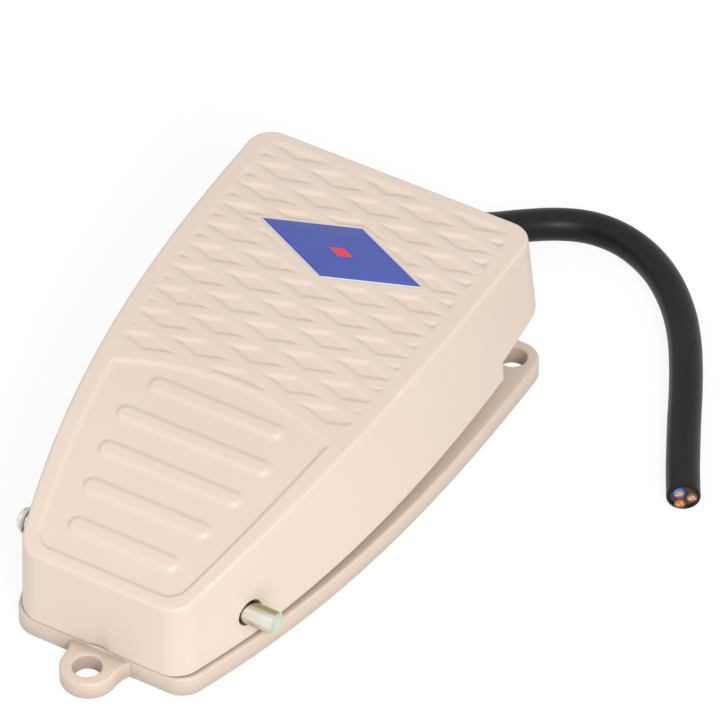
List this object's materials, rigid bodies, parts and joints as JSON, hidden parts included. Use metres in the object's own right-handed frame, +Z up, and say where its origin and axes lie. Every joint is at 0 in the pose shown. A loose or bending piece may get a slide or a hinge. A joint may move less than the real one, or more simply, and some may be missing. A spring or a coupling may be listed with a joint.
{
  "type": "foot switch",
  "caption": "Cast pedal hinged on a cross pin over a flanged base with screw ears, working a snap switch inside, with a stub of round cable.",
  "frame": {"origin": "underside of the base plate, in line with the pedal's heel wall, on the part's middle plane", "axes": "+X to the right seen from the heel, +Y from the heel to the toe, +Z up"},
  "size_m": [0.1495, 0.2144, 0.0453],
  "materials": {
    "cream_paint": "cream enamel on cast metal, satin, slight orange peel",
    "zinc_steel": "yellowish zinc-plated steel",
    "spring_steel": "bright spring steel",
    "dark_steel": "blackened steel",
    "label_blue": "blue printed label, no lettering",
    "black_rubber": "black rubber, matt",
    "switch_resin": "dark moulded resin",
    "cover_resin": "brown moulded resin",
    "plunger_resin": "red moulded resin",
    "contact_brass": "brass strip",
    "cable_sheath": "black cable sheath, satin",
    "core_insulation": "core insulation at the cut end",
    "copper": "stranded copper, cut",
    "blue_insulation": "blue wire insulation",
    "brown_insulation": "brown wire insulation",
    "black_insulation": "black wire insulation"
  },
  "bodies": {
    "base": {"base_casting": "cream_paint", "base_ear": "cream_paint", "pivot_pin": "zinc_steel", "pin_ring": "spring_steel", "pin_grub_screws": "dark_steel", "return_springs": "spring_steel", "stop_buffers": "black_rubber", "switch_bracket": "zinc_steel", "bracket_screws": "zinc_steel", "switch_body": "switch_resin", "switch_cover": "cover_resin", "switch_screws": "zinc_steel", "switch_nuts": "zinc_steel", "contact_spring": "spring_steel", "common_terminal": "contact_brass", "closed_terminal": "contact_brass", "open_terminal": "contact_brass", "terminal_screws": "zinc_steel", "cable_saddle": "zinc_steel", "saddle_screws": "zinc_steel", "cable_grommet": "black_rubber", "cord_tail": "cable_sheath", "cord_lead": "cable_sheath", "core_ends": "core_insulation", "copper_ends": "copper", "wire_blue": "blue_insulation", "wire_brown": "brown_insulation", "wire_black": "black_insulation"},
    "pedal": {"pedal_shell": "cream_paint", "name_plate": "label_blue", "actuator_screw": "zinc_steel", "actuator_nut": "zinc_steel"},
    "plunger": {"plunger": "plunger_resin"},
    "contact_blade": {"contact_blade": "contact_brass"}
  },
  "joints": [
    {"name": "pedal_pivot", "type": "hinge", "parent": "base", "child": "pedal", "pos_m": [0, 0.0221, 0.0144], "axis": [-1, 0, 0], "range_deg": [0, 3.3], "stiffness_Nm_per_rad": 13.8, "springref_deg": -4.01, "deforming": ["return_springs"]},
    {"name": "plunger_slide", "type": "slide", "parent": "base", "child": "plunger", "axis": [0, 0, -1], "range_m": [0, 0.0028]},
    {"name": "contact_pivot", "type": "hinge", "parent": "base", "child": "contact_blade", "pos_m": [0, 0.095, 0.019], "axis": [1, 0, 0], "range_deg": [0, 5.5], "deforming": ["contact_spring"]}
  ],
  "couplings": [
    {"joint": "plunger_slide", "follows": "pedal_pivot", "m_per_rad": 0.0461},
    {"joint": "contact_pivot", "follows": "pedal_pivot", "ratio": 1.61}
  ]
}
